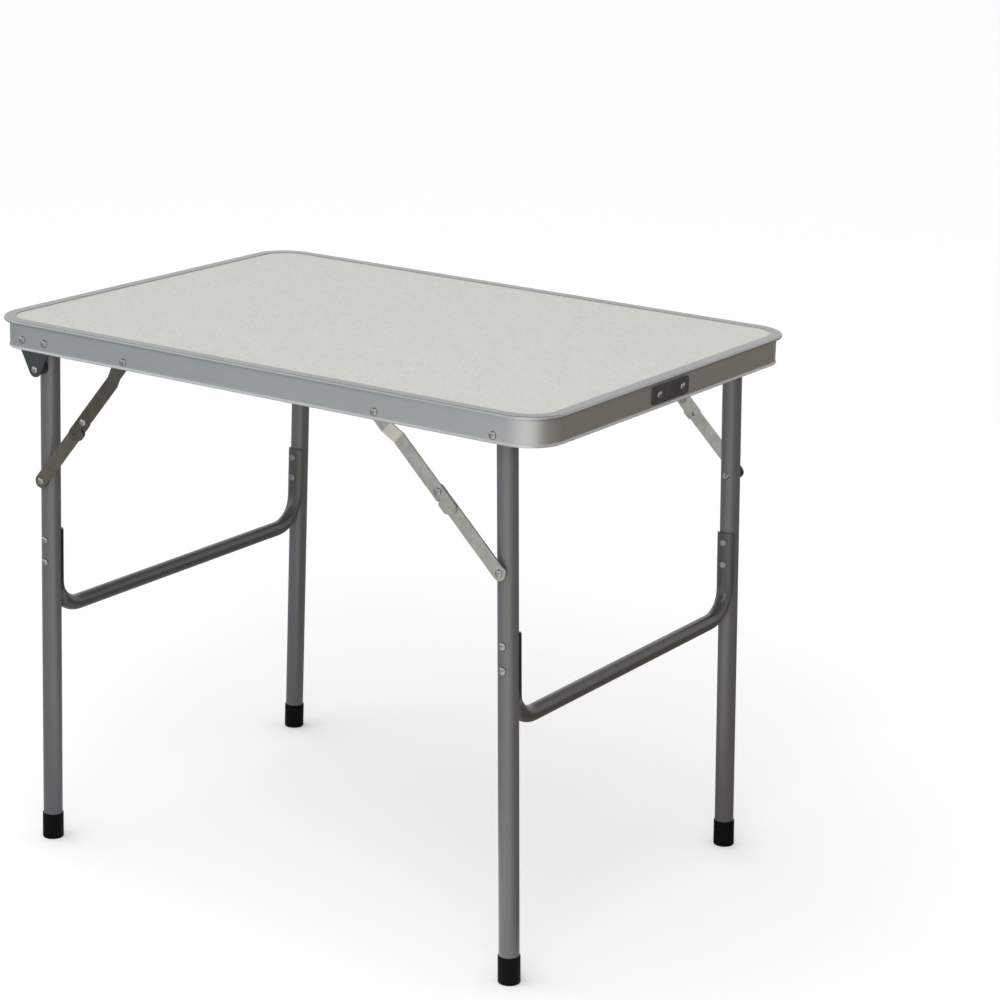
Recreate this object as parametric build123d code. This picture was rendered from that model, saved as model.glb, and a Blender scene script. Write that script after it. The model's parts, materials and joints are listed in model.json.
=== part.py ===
from build123d import *
import os
from math import acos, asin, atan2, cos, degrees, hypot, pi, radians, sin

# Overall size of the open table, floor to rim top
TOP_LENGTH = 700.0
TOP_WIDTH = 500.0
TABLE_HEIGHT = 590.0
TOP_CORNER = 44.0

# Rim extrusion: lip over the board, rounded nose, thin web flared at its foot and a ledge under the board
RIM_HEIGHT = 31.5
LIP_WIDTH = 12.5
LIP_THICKNESS = 1.0
NOSE_HEIGHT = 4.0
NOSE_OVERHANG = 6.0
NOSE_ROUND = 1.9
NOSE_FILLET = 2.5
WEB_THICKNESS = 1.5
FLARE_HEIGHT = 3.6
FLARE_WIDTH = 1.8
FLARE_ROUND = 0.6
LEDGE_WIDTH = 6.0
LEDGE_THICKNESS = 1.2
BUTT_GAP = 0.6

# Board held between lip and ledge
PANEL_THICKNESS = 4.0
PANEL_EDGE_GAP = 0.3

# Splice plate over the butt joint, on the outside of the right web
SPLICE_OFFSET = -6.0
SPLICE_LENGTH = 70.0
SPLICE_HEIGHT = 18.5
SPLICE_THICKNESS = 1.5
SPLICE_CORNER = 4.0
SPLICE_PITCH = 45.0

# Rivets: domed head, shank in a close hole, flared tail
RIVET_HEAD = 8.4
RIVET_DOME = 2.3
RIVET_SHANK = 5.0
RIVET_TAIL = 7.6
RIVET_TAIL_THICKNESS = 1.1
RIVET_TAIL_DIMPLE = 3.0
HOLE_PLAY = 0.06

# Leg tubes and their pivots
LEG_INSET = 32.0
LEG_DIAMETER = 21.0
LEG_WALL = 1.0
PIVOT_SHANK = 6.0
PIVOT_SIDE_PLAY = 0.3
RIGHT_PIVOT_INSET = 59.0
RIGHT_LEG_OVER_PIVOT = 10.0
RIGHT_SPLAY = 2.0
LEFT_PIVOT_INSET = 60.0
LEFT_PIVOT_BELOW_RIM = 19.5
LEFT_LEG_OVER_PIVOT = 13.0
LEFT_SPLAY = 1.0
SPACER_DIAMETER = 13.0

# Triangular brackets behind the web that carry the left leg frame
BRACKET_THICKNESS = 1.6
BRACKET_SEAT_GAP = 0.35
BRACKET_WIDTH = 40.0
BRACKET_TIP_RADIUS = 8.0
BRACKET_CORNER = 3.0
BRACKET_BELOW_LEDGE = 2.0
BRACKET_RIVET_PITCH = 31.0
BRACKET_RIVET_ABOVE_RIM = 11.0

# Folding braces: leg rivet as far from the pivot as the rim rivet, so the links fold flat
RIM_RIVET_ABOVE_RIM = 7.8
RIGHT_BRACE_REACH = 138.0
LEFT_BRACE_REACH = 124.0
LINK_WIDTH = 15.0
LINK_THICKNESS = 1.8
LINK_STANDOFF = 3.9
LINK_PLAY = 0.3
JOGGLE_START = 19.0
JOGGLE_LENGTH = 15.0
KNEE_OVERLAP = 19.5
TAB_START = 8.5
TAB_LENGTH = 14.0
TAB_PLAY = 0.25
TAB_BEND = 1.6
TAB_ROUND = 4.0
RELIEF_WIDTH = 1.8
RELIEF_DEPTH = 4.2
DETENT_DIAMETER = 4.0
DETENT_RISE = 0.2

# Crossbars: round tube bent to a U, ends crushed round the legs
CROSSBAR_DIAMETER = 17.0
CROSSBAR_INNER_BEND = 30.0
RIGHT_CROSSBAR_DROP = 295.0
LEFT_CROSSBAR_DROP = 274.0
SADDLE_LENGTH = 54.5
SADDLE_THICKNESS = 2.4
SADDLE_FIT = 0.1
CRUSH_TO = 54.0
CRUSH_STEPS = 6
CRUSH_POINTS = 8
SADDLE_RIVET_DEPTH = 10.5
SADDLE_RIVET_PITCH = 25.0

# Foot caps pushed over the tube ends
FOOT_DIAMETER = 23.0
FOOT_LENGTH = 29.0
FOOT_SOLE = 6.0
FOOT_EDGE = 3.0
FOOT_LIP = 0.8
FOOT_FIT = 0.05

# Strap handle in the middle of the far long side
HANDLE_LENGTH = 190.0
HANDLE_CAP_LENGTH = 38.0
HANDLE_CAP_HEIGHT = 15.0
HANDLE_CAP_DEPTH = 4.7
HANDLE_CAP_ROUND = 2.0
STRAP_HEIGHT = 12.0
STRAP_THICKNESS = 2.8
STRAP_RISE = 1.6
STRAP_INSERT = 24.0
STRAP_PLAY = 0.3
SCREW_HEAD = 6.5
SCREW_DOME = 1.2
SCREW_SHANK = 3.5
SCREW_LENGTH = 9.0
SCREW_SOCKET = 2.4
SCREW_FROM_END = 6.0

# Levels and faces worked out from the sizes above
RIM_BOTTOM = TABLE_HEIGHT - RIM_HEIGHT
PANEL_TOP = TABLE_HEIGHT - LIP_THICKNESS
PANEL_BOTTOM = PANEL_TOP - PANEL_THICKNESS
LEDGE_BOTTOM = PANEL_BOTTOM - LEDGE_THICKNESS
WEB_TOP = TABLE_HEIGHT - NOSE_HEIGHT - NOSE_FILLET
WEB_BOTTOM = RIM_BOTTOM + FLARE_HEIGHT
WEB_MIDDLE = (WEB_TOP + WEB_BOTTOM) / 2
WEB_INSET = NOSE_OVERHANG + WEB_THICKNESS
LEG_RADIUS = LEG_DIAMETER / 2
LEG_AXIS_Y = TOP_WIDTH / 2 - LEG_INSET
SIDE_WEB_OUTER = TOP_WIDTH / 2 - NOSE_OVERHANG
SIDE_WEB_INNER = TOP_WIDTH / 2 - WEB_INSET
END_WEB_OUTER = TOP_LENGTH / 2 - NOSE_OVERHANG
END_WEB_INNER = TOP_LENGTH / 2 - WEB_INSET
LEG_OUTER = LEG_AXIS_Y + LEG_RADIUS
LEG_INNER = LEG_AXIS_Y - LEG_RADIUS
LOWER_LINK_INNER = LEG_OUTER + LINK_STANDOFF
UPPER_LINK_INNER = LOWER_LINK_INNER + LINK_THICKNESS + LINK_PLAY
UPPER_LINK_TOP_INNER = SIDE_WEB_INNER - LINK_PLAY - LINK_THICKNESS
RIM_RIVET_LEVEL = RIM_BOTTOM + RIM_RIVET_ABOVE_RIM
BRACKET_RIVET_LEVEL = RIM_BOTTOM + BRACKET_RIVET_ABOVE_RIM
BRACKET_OUTER = SIDE_WEB_INNER - BRACKET_SEAT_GAP
BRACKET_INNER = BRACKET_OUTER - BRACKET_THICKNESS
LINK_RADIUS = LINK_WIDTH / 2

SIDES = {"front": -1, "back": 1}


class LegFrame:
    """Places of one folding leg frame: its pivot, splay and the points of its braces."""

    def __init__(self, name, end, pivot_inset, pivot_z, over_pivot, splay, reach, crossbar_drop):
        self.name = name
        self.end = end
        self.pivot_x = end * (TOP_LENGTH / 2 - pivot_inset)
        self.pivot_z = pivot_z
        self.over_pivot = over_pivot
        self.splay = splay
        self.reach = reach
        self.crossbar_drop = crossbar_drop
        self.axis_length = pivot_z / cos(radians(splay))
        self.rim_x = self.pivot_x - end * reach
        self.leg_x = self.pivot_x + end * reach * sin(radians(splay))
        self.leg_z = pivot_z - reach * cos(radians(splay))
        self.brace_length = hypot(self.leg_x - self.rim_x, self.leg_z - RIM_RIVET_LEVEL)

    def placed(self, shape):
        """A shape drawn with the pivot at the origin and the leg along -Z, set at its splay."""
        return Pos(self.pivot_x, 0, self.pivot_z) * Rot(0, -self.end * self.splay, 0) * shape

    def on_brace(self, side, shape):
        """A link drawn along +X from the rim rivet, flat in XZ, outside towards -Y, set in its place."""
        slope = degrees(atan2(RIM_RIVET_LEVEL - self.leg_z, self.end * (self.leg_x - self.rim_x)))
        turned = Rot(0, slope, 0) * shape
        if self.end < 0:
            turned = mirror(turned, about=Plane.YZ)
        if side > 0:
            turned = mirror(turned, about=Plane.XZ)
        return Pos(self.rim_x, 0, RIM_RIVET_LEVEL) * turned


FRAMES = [
    LegFrame(
        "left", -1, LEFT_PIVOT_INSET, RIM_BOTTOM - LEFT_PIVOT_BELOW_RIM, LEFT_LEG_OVER_PIVOT, LEFT_SPLAY,
        LEFT_BRACE_REACH, LEFT_CROSSBAR_DROP,
    ),
    LegFrame(
        "right", 1, RIGHT_PIVOT_INSET, RIM_RIVET_LEVEL, RIGHT_LEG_OVER_PIVOT, RIGHT_SPLAY,
        RIGHT_BRACE_REACH, RIGHT_CROSSBAR_DROP,
    ),
]


def block(x0, x1, y0, y1, z0, z1):
    """A box between two corners."""
    middle = ((x0 + x1) / 2, (y0 + y1) / 2, (z0 + z1) / 2)
    return Pos(*middle) * Box(abs(x1 - x0), abs(y1 - y0), abs(z1 - z0))


def rod(diameter, y0, y1, x=0.0, z=0.0):
    """A round bar along Y between two places."""
    return Pos(x, (y0 + y1) / 2, z) * Rot(90, 0, 0) * Cylinder(diameter / 2, abs(y1 - y0))


def turned(points, arc_from=None, arc_mid=None):
    """A solid of revolution about Z from half-section points (radius, height); one side may be an arc."""
    edges = []
    for number, (start, stop) in enumerate(zip(points, points[1:] + points[:1])):
        if number == arc_from:
            edges.append(ThreePointArc((start[0], 0, start[1]), (arc_mid[0], 0, arc_mid[1]), (stop[0], 0, stop[1])))
        else:
            edges.append(Line((start[0], 0, start[1]), (stop[0], 0, stop[1])))
    return revolve(make_face(edges), Axis.Z)


def rivet_head(diameter, dome, shank, length):
    """Domed head above Z=0 and a plain shank down to -length."""
    radius = diameter / 2
    ball = (radius * radius + dome * dome) / (2 * dome)
    half_way = asin(radius / ball) / 2
    crown = (ball * sin(half_way), dome - ball + ball * cos(half_way))
    points = [(0, dome), (0, -length), (shank / 2, -length), (shank / 2, 0), (radius, 0)]
    return turned(points, arc_from=4, arc_mid=crown)


def rivet_tail(top):
    """Flared tail below a face at -top, with the small hollow that the setting tool leaves."""
    low = -top - RIVET_TAIL_THICKNESS
    hollow = low + RIVET_TAIL_THICKNESS / 2
    radius = RIVET_TAIL / 2
    return turned([
        (0, -top), (0, hollow), (RIVET_TAIL_DIMPLE / 4, hollow), (RIVET_TAIL_DIMPLE / 2, low),
        (0.8 * radius, low), (radius, -top),
    ])


def rivet(grip, shank=RIVET_SHANK):
    """A set rivet: head above Z=0, shank through the grip, tail under it."""
    return rivet_head(RIVET_HEAD, RIVET_DOME, shank, grip) + rivet_tail(grip)


def facing(shape, side, x, y, z):
    """A shape drawn with its head up, turned so the head looks out to the front (-1) or back (1)."""
    return Pos(x, side * y, z) * Rot(-90 * side, 0, 0) * shape


# Table top

def rim_profile():
    """Section of the rim: X counts outwards from the nose, Y up from the top face."""
    web_back, web_front = -WEB_INSET, -NOSE_OVERHANG
    sketch = Sketch()
    for x0, x1, y0, y1 in (
        (-LIP_WIDTH, 0, -LIP_THICKNESS, 0),
        (web_back, 0, -NOSE_HEIGHT, 0),
        (web_back, web_front, -RIM_HEIGHT, 0),
        (web_back - LEDGE_WIDTH, web_back, LEDGE_BOTTOM - TABLE_HEIGHT, PANEL_BOTTOM - TABLE_HEIGHT),
    ):
        sketch += Pos((x0 + x1) / 2, (y0 + y1) / 2) * Rectangle(x1 - x0, y1 - y0)
    foot = (web_front, -RIM_HEIGHT)
    flare_top = (web_front, FLARE_HEIGHT - RIM_HEIGHT)
    flare_tip = (web_front + FLARE_WIDTH, -RIM_HEIGHT)
    curve = TangentArc(flare_top, flare_tip, tangent=(0, -1))
    sketch += make_face([curve, Line(flare_tip, foot), Line(foot, flare_top)])
    rounds = (
        (0, 0, NOSE_ROUND), (0, -NOSE_HEIGHT, NOSE_ROUND), (web_front, -NOSE_HEIGHT, NOSE_FILLET),
        (*flare_tip, FLARE_ROUND),
    )
    for x, y, radius in rounds:
        corner = sketch.vertices().sort_by_distance((x, y))[0]
        sketch = fillet(corner, radius)
    return sketch


def rim_frame():
    """The extrusion bent round the board, open by a hair at the butt joint, with its rivet holes."""
    x, y = TOP_LENGTH / 2, TOP_WIDTH / 2
    gap = BUTT_GAP / 2
    corners = [
        (x, SPLICE_OFFSET + gap), (x, y), (-x, y), (-x, -y), (x, -y), (x, SPLICE_OFFSET - gap),
    ]
    path = Pos(0, 0, TABLE_HEIGHT) * FilletPolyline(*corners, radius=TOP_CORNER)
    section = Plane((x, SPLICE_OFFSET + gap, TABLE_HEIGHT), x_dir=(1, 0, 0), z_dir=(0, -1, 0)) * rim_profile()
    rim = sweep(section, path=path)
    hole = RIVET_SHANK + 2 * HOLE_PLAY
    pivot_hole = PIVOT_SHANK + 2 * HOLE_PLAY
    left, right = FRAMES
    for side in SIDES.values():
        places = [(frame.rim_x, RIM_RIVET_LEVEL, hole) for frame in FRAMES]
        places += [(x, BRACKET_RIVET_LEVEL, hole) for x in bracket_rivet_places()]
        places.append((right.pivot_x, right.pivot_z, pivot_hole))
        for x, z, diameter in places:
            rim -= rod(diameter, side * (SIDE_WEB_INNER - 1), side * TOP_WIDTH / 2, x, z)
    for y in splice_rivet_places():
        rim -= Pos(END_WEB_OUTER, y, WEB_MIDDLE) * Rot(0, 90, 0) * Cylinder(hole / 2, 4 * WEB_THICKNESS)
    for x in handle_screw_places():
        rim -= rod(SCREW_SHANK + 2 * HOLE_PLAY, SIDE_WEB_INNER - 1, TOP_WIDTH / 2, x, WEB_MIDDLE)
    return rim


def tabletop_panel():
    """The board, its edge just clear of the web and its faces between lip and ledge."""
    inset = WEB_INSET + PANEL_EDGE_GAP
    outline = RectangleRounded(TOP_LENGTH - 2 * inset, TOP_WIDTH - 2 * inset, TOP_CORNER - inset)
    return Pos(0, 0, PANEL_BOTTOM) * extrude(outline, PANEL_THICKNESS)


def splice_rivet_places():
    return [SPLICE_OFFSET + step * SPLICE_PITCH / 2 for step in (-1, 1)]


def splice_plate():
    """Flat plate with rounded corners, drilled for its two rivets."""
    outline = RectangleRounded(SPLICE_LENGTH, SPLICE_HEIGHT, SPLICE_CORNER)
    for step in (-1, 1):
        outline -= Pos(step * SPLICE_PITCH / 2, 0) * Circle(RIVET_SHANK / 2 + HOLE_PLAY)
    face = Plane((END_WEB_OUTER, SPLICE_OFFSET, WEB_MIDDLE), x_dir=(0, 1, 0), z_dir=(1, 0, 0))
    return face * extrude(outline, SPLICE_THICKNESS)


def splice_rivets():
    grip = SPLICE_THICKNESS + WEB_THICKNESS
    head = END_WEB_OUTER + SPLICE_THICKNESS
    return [Pos(head, y, WEB_MIDDLE) * Rot(0, 90, 0) * rivet(grip) for y in splice_rivet_places()]


# Brackets and pivots

def bracket_rivet_places():
    left = FRAMES[0]
    return [left.pivot_x + step * BRACKET_RIVET_PITCH / 2 for step in (-1, 1)]


def hinge_bracket(side):
    """Triangular plate against the inside of the web, its rounded tip round the leg pivot."""
    left = FRAMES[0]
    spread = BRACKET_WIDTH / 2 - BRACKET_CORNER
    levels = (LEDGE_BOTTOM - BRACKET_BELOW_LEDGE - BRACKET_CORNER, RIM_BOTTOM + BRACKET_CORNER)
    rounds = [Circle(BRACKET_TIP_RADIUS)]
    for step in (-1, 1):
        rounds += [Pos(step * spread, level - left.pivot_z) * Circle(BRACKET_CORNER) for level in levels]
    outline = make_hull([edge for shape in rounds for edge in shape.edges()])
    outline -= Circle(PIVOT_SHANK / 2 + HOLE_PLAY)
    for step in (-1, 1):
        place = (step * BRACKET_RIVET_PITCH / 2, BRACKET_RIVET_LEVEL - left.pivot_z)
        outline -= Pos(*place) * Circle(RIVET_SHANK / 2 + HOLE_PLAY)
    face = Plane((left.pivot_x, side * BRACKET_INNER, left.pivot_z), x_dir=(1, 0, 0), z_dir=(0, -1, 0))
    return face * extrude(outline, -side * BRACKET_THICKNESS)


def bracket_rivets():
    grip = SIDE_WEB_OUTER - BRACKET_INNER
    return [
        facing(rivet(grip), side, x, SIDE_WEB_OUTER, BRACKET_RIVET_LEVEL)
        for side in SIDES.values() for x in bracket_rivet_places()
    ]


def pivot_seat(frame):
    """Outer and inner faces of what carries a leg pivot: the bracket on the left, the web on the right."""
    if frame.end < 0:
        return BRACKET_OUTER, BRACKET_INNER
    return SIDE_WEB_OUTER, SIDE_WEB_INNER


def leg_pivot_rivets():
    solids = []
    for frame in FRAMES:
        head_face, _ = pivot_seat(frame)
        grip = head_face - LEG_INNER + PIVOT_SIDE_PLAY
        for side in SIDES.values():
            solids.append(facing(rivet(grip, PIVOT_SHANK), side, frame.pivot_x, head_face, frame.pivot_z))
    return solids


def pivot_spacers():
    """Bushes that hold the legs off the rim or bracket."""
    solids = []
    for frame in FRAMES:
        _, outer = pivot_seat(frame)
        inner = LEG_OUTER + PIVOT_SIDE_PLAY
        for side in SIDES.values():
            bush = rod(SPACER_DIAMETER, side * inner, side * outer)
            bush -= rod(PIVOT_SHANK + 2 * HOLE_PLAY, side * inner, side * outer)
            solids.append(Pos(frame.pivot_x, 0, frame.pivot_z) * bush)
    return solids


# Leg frames

def saddle_rivet_places(frame):
    """Places of the crossbar's rivets along the leg, counted from the pivot."""
    first = bend_centre_rise() + SADDLE_LENGTH - SADDLE_RIVET_DEPTH - frame.crossbar_drop
    return [first, first - SADDLE_RIVET_PITCH]


def tube_end(frame):
    """Distance from the pivot to the lower end of the tube, on the sole inside its cap."""
    return frame.axis_length - FOOT_SOLE


def leg(frame, side):
    """Straight tube from just above the pivot into its cap, drilled for pivot, brace and crossbar."""
    length = frame.over_pivot + tube_end(frame)
    middle = frame.over_pivot - length / 2
    tube = Pos(0, 0, middle) * (Cylinder(LEG_RADIUS, length) - Cylinder(LEG_RADIUS - LEG_WALL, length))
    holes = [(0.0, PIVOT_SHANK), (-frame.reach, RIVET_SHANK)]
    holes += [(place, RIVET_SHANK) for place in saddle_rivet_places(frame)]
    for place, shank in holes:
        tube -= rod(shank + 2 * HOLE_PLAY, -LEG_DIAMETER, LEG_DIAMETER, z=place)
    return frame.placed(Pos(0, side * LEG_AXIS_Y, 0) * tube)


def foot_cap(frame, side):
    """Cup over the tube end: rounded sole, small lip at the mouth, cut level with the floor."""
    radius = FOOT_DIAMETER / 2
    bore = LEG_RADIUS + FOOT_FIT
    spare = FOOT_EDGE / 2
    low = -frame.axis_length - spare
    mouth = -frame.axis_length + FOOT_LENGTH
    cup = Pos(0, 0, (low + mouth) / 2) * Cylinder(radius, mouth - low)
    cup = fillet(cup.edges().group_by(Axis.Z)[0], FOOT_EDGE)
    cup = chamfer(cup.edges().group_by(Axis.Z)[-1], FOOT_LIP)
    floor = -tube_end(frame)
    cup -= Pos(0, 0, (floor + mouth) / 2) * Cylinder(bore, mouth - floor)
    cup = frame.placed(Pos(0, side * LEG_AXIS_Y, 0) * cup)
    reach = 2 * FOOT_DIAMETER
    x = frame.pivot_x + frame.end * frame.axis_length * sin(radians(frame.splay))
    return cup - block(x - reach, x + reach, side * LEG_AXIS_Y - reach, side * LEG_AXIS_Y + reach, -reach, 0)


def crush_angle():
    """Half angle of the crushed end round the leg, so its wall is as long as the round tube's."""
    half = SADDLE_THICKNESS / 2
    middle = LEG_RADIUS + SADDLE_FIT + half
    return (pi * CROSSBAR_DIAMETER - 2 * pi * half) / (4 * middle)


def crush_section(share):
    """Outline from round tube (share 0) to a round back with a flat front (share 1); the leg axis is the origin."""
    back = LEG_RADIUS + SADDLE_FIT + SADDLE_THICKNESS
    spread = crush_angle()
    tube = CROSSBAR_DIAMETER / 2
    centre = back - tube
    sides = []
    for away in (True, False):
        points = []
        for step in range(CRUSH_POINTS + 1):
            across = 1 - 2 * step / CRUSH_POINTS
            turn = across * pi / 2
            circle = (tube * sin(turn), centre + (tube if away else -tube) * cos(turn))
            angle = across * spread
            flat = (across * back * sin(spread), back * cos(spread))
            crushed = (back * sin(angle), back * cos(angle)) if away else flat
            points.append(tuple((1 - share) * c + share * k for c, k in zip(circle, crushed)))
        lean = (-share * cos(spread), 1 - share + share * sin(spread)) if away else (-share, share - 1)
        ends = [lean, (lean[0], -lean[1])]
        sides.append(Spline(*points, tangents=ends, tangent_scalars=[1, 1]))
    return make_face(sides)


def crush_share(angle):
    """1 where the tube is crushed, 0 where it is round, easing in and out along the bend."""
    along = angle / CRUSH_TO
    return 1 - along * along * (3 - 2 * along)


def bend_centre_rise():
    """Height of the bend's centre above the middle of the run."""
    return CROSSBAR_INNER_BEND + CROSSBAR_DIAMETER / 2


def crossbar(frame):
    """Round run and two bends, in which the tube flattens along the legs to the saddles at its ends."""
    bend_z = bend_centre_rise() - frame.crossbar_drop
    leg_face = LEG_RADIUS + SADDLE_FIT
    bend_y = leg_face + SADDLE_THICKNESS + CROSSBAR_INNER_BEND
    bend_axis = Axis((0, bend_y, bend_z), (1, 0, 0))
    sections = []
    for number in range(CRUSH_STEPS + 1):
        angle = CRUSH_TO * number / CRUSH_STEPS
        level = Pos(0, 0, bend_z) * crush_section(crush_share(angle))
        sections.append(level.rotate(bend_axis, angle))
    saddle = extrude(sections[0], SADDLE_LENGTH)
    bend = revolve(sections[-1], bend_axis, revolution_arc=90 - CRUSH_TO)
    run = extrude(bend.faces().sort_by(Axis.Y)[-1], LEG_AXIS_Y - bend_y)
    half = run + bend + loft(sections) + saddle
    half -= Pos(0, 0, bend_z) * Cylinder(leg_face, 2 * (SADDLE_LENGTH + bend_y))
    for place in saddle_rivet_places(frame):
        half -= rod(RIVET_SHANK + 2 * HOLE_PLAY, 0, LEG_DIAMETER, z=place)
    half = Pos(0, -LEG_AXIS_Y, 0) * half
    return frame.placed(half + mirror(half, about=Plane.XZ))


def crossbar_rivets(frame):
    grip = LEG_DIAMETER + SADDLE_FIT + SADDLE_THICKNESS
    return [
        frame.placed(facing(rivet(grip), side, 0, LEG_OUTER, place))
        for side in SIDES.values() for place in saddle_rivet_places(frame)
    ]


def brace_pins(frame):
    """Inner half of the brace rivet: a collar beside the link, the shank in the tube and the tail."""
    collar = LINK_STANDOFF - LINK_PLAY
    pin = rivet_tail(LEG_DIAMETER) + Pos(0, 0, collar / 2) * Cylinder(RIVET_TAIL / 2, collar)
    pin += Pos(0, 0, -LEG_DIAMETER / 2) * Cylinder(RIVET_SHANK / 2, LEG_DIAMETER)
    return [frame.placed(facing(pin, side, 0, LEG_OUTER, -frame.reach)) for side in SIDES.values()]


# Braces, drawn along +X from the rim rivet with the outside towards -Y

def strip(start, stop):
    """Outline of a link with round ends at two rivet centres."""
    return Pos((start + stop) / 2, 0) * SlotCenterToCenter(stop - start, LINK_WIDTH)


def plate(outline, inner, outer):
    """A flat outline given thickness between two distances from the table's middle line."""
    face = Plane((0, -inner, 0), x_dir=(1, 0, 0), z_dir=(0, -1, 0))
    return face * extrude(outline, outer - inner)


def upper_link(frame):
    """Strip from the rim, joggled inwards under it, with a bent stop tab and a detent dimple past the knee."""
    knee = frame.brace_length / 2
    tip = knee + KNEE_OVERLAP
    high, low = UPPER_LINK_TOP_INNER, UPPER_LINK_INNER
    turn = JOGGLE_START + JOGGLE_LENGTH
    ends = (-LINK_WIDTH, tip + LINK_WIDTH)
    side_view = [(ends[0], high), (JOGGLE_START, high), (turn, low), (ends[1], low)]
    side_view += [(x, y + LINK_THICKNESS) for x, y in reversed(side_view)]
    band = make_face(Polyline(*side_view, close=True))
    band = Plane((0, 0, 0), x_dir=(1, 0, 0), z_dir=(0, 0, -1)) * extrude(band, LINK_RADIUS, both=True)
    outline = strip(0, tip)
    for x in (0, knee):
        outline -= Pos(x, 0) * Circle(RIVET_SHANK / 2 + HOLE_PLAY)
    tab_start = knee + TAB_START
    relief = (tab_start - RELIEF_WIDTH / 2, RELIEF_DEPTH / 2 - LINK_RADIUS)
    outline -= Pos(*relief) * Rectangle(RELIEF_WIDTH, RELIEF_DEPTH)
    link = band & plate(outline, low - LINK_WIDTH, high + LINK_WIDTH)
    edge = -LINK_RADIUS - TAB_PLAY
    corner = (low + LINK_THICKNESS, edge - LINK_THICKNESS)
    bent = [
        corner, (LOWER_LINK_INNER + LINK_PLAY, corner[1]), (LOWER_LINK_INNER + LINK_PLAY, edge), (low, edge),
        (low, RELIEF_DEPTH - LINK_RADIUS), (corner[0], RELIEF_DEPTH - LINK_RADIUS),
    ]
    section = make_face(Polyline(*bent, close=True))
    section = fillet(section.vertices().sort_by_distance(corner)[0], TAB_BEND)
    across = Plane((tab_start + TAB_LENGTH, 0, 0), x_dir=(0, -1, 0), z_dir=(-1, 0, 0))
    depth = corner[1] - bent[-1][1]
    lobe = Pos(tab_start + TAB_LENGTH / 2, corner[1] - depth) * RectangleRounded(TAB_LENGTH, -2 * depth, TAB_ROUND)
    tab = across * extrude(section, TAB_LENGTH) & plate(lobe, low - LINK_WIDTH, high + LINK_WIDTH)
    dimple = rod(DETENT_DIAMETER, -low, -low + DETENT_RISE, tip)
    hollow = rod(DETENT_DIAMETER / 2, -low - LINK_THICKNESS, -low - LINK_THICKNESS / 2, tip)
    return link + tab + dimple - hollow


def lower_link(frame):
    """Straight strip from the knee to the leg, with the detent hole under the dimple."""
    knee = frame.brace_length / 2
    outline = strip(knee, frame.brace_length)
    for x in (knee, frame.brace_length):
        outline -= Pos(x, 0) * Circle(RIVET_SHANK / 2 + HOLE_PLAY)
    outline -= Pos(knee + KNEE_OVERLAP, 0) * Circle(DETENT_DIAMETER / 2 + LINK_PLAY)
    return plate(outline, LOWER_LINK_INNER, LOWER_LINK_INNER + LINK_THICKNESS)


def knee_rivet(frame):
    head = UPPER_LINK_INNER + LINK_THICKNESS
    return facing(rivet(head - LOWER_LINK_INNER), -1, frame.brace_length / 2, head, 0)


def leg_rivet_head(frame):
    """Outer half of the brace rivet, in the lower link."""
    head = LOWER_LINK_INNER + LINK_THICKNESS
    shape = rivet_head(RIVET_HEAD, RIVET_DOME, RIVET_SHANK, LINK_THICKNESS)
    return facing(shape, -1, frame.brace_length, head, 0)


def brace_rim_rivets():
    grip = SIDE_WEB_OUTER - UPPER_LINK_TOP_INNER
    return [
        facing(rivet(grip), side, frame.rim_x, SIDE_WEB_OUTER, RIM_RIVET_LEVEL)
        for frame in FRAMES for side in SIDES.values()
    ]


# Strap handle on the back web

def handle_screw_places():
    return [end * (HANDLE_LENGTH / 2 - SCREW_FROM_END) for end in (-1, 1)]


def strap_band(clearance=0.0):
    """The strap's bowed band between its two tucked ends, grown by a clearance for the caps' pockets."""
    ends = HANDLE_LENGTH / 2 - HANDLE_CAP_LENGTH + STRAP_INSERT + clearance
    inner = SIDE_WEB_OUTER + STRAP_PLAY - 2 * clearance
    outer = SIDE_WEB_OUTER + STRAP_PLAY + STRAP_THICKNESS + clearance
    inside = ThreePointArc((-ends, inner), (0, inner + STRAP_RISE), (ends, inner))
    outside = ThreePointArc((-ends, outer), (0, outer + STRAP_RISE), (ends, outer))
    face = make_face([inside, outside, Line(inside @ 0, outside @ 0), Line(inside @ 1, outside @ 1)])
    return Pos(0, 0, WEB_MIDDLE) * extrude(face, STRAP_HEIGHT / 2 + clearance, both=True)


def handle_end_caps():
    """Two moulded caps on the web, each with a pocket for the strap end and a screw hole."""
    caps = []
    for end in (-1, 1):
        middle = end * (HANDLE_LENGTH - HANDLE_CAP_LENGTH) / 2
        outline = RectangleRounded(HANDLE_CAP_LENGTH, HANDLE_CAP_HEIGHT, HANDLE_CAP_ROUND)
        face = Plane((middle, SIDE_WEB_OUTER, WEB_MIDDLE), x_dir=(-1, 0, 0), z_dir=(0, 1, 0))
        cap = face * extrude(outline, HANDLE_CAP_DEPTH)
        cap = fillet(cap.faces().sort_by(Axis.Y)[-1].edges(), HANDLE_CAP_ROUND / 2)
        cap -= strap_band(STRAP_PLAY)
        for x in handle_screw_places():
            cap -= rod(SCREW_SHANK + 2 * HOLE_PLAY, SIDE_WEB_OUTER, TOP_WIDTH, x, WEB_MIDDLE)
        caps.append(cap)
    return caps


def handle_screws():
    """Pan-head screws through cap and web."""
    screw = rivet_head(SCREW_HEAD, SCREW_DOME, SCREW_SHANK, SCREW_LENGTH)
    screw -= Pos(0, 0, SCREW_DOME) * Cylinder(SCREW_SOCKET / 2, SCREW_DOME)
    return [facing(screw, 1, x, SIDE_WEB_OUTER + HANDLE_CAP_DEPTH, WEB_MIDDLE) for x in handle_screw_places()]


# All pieces by name

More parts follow.
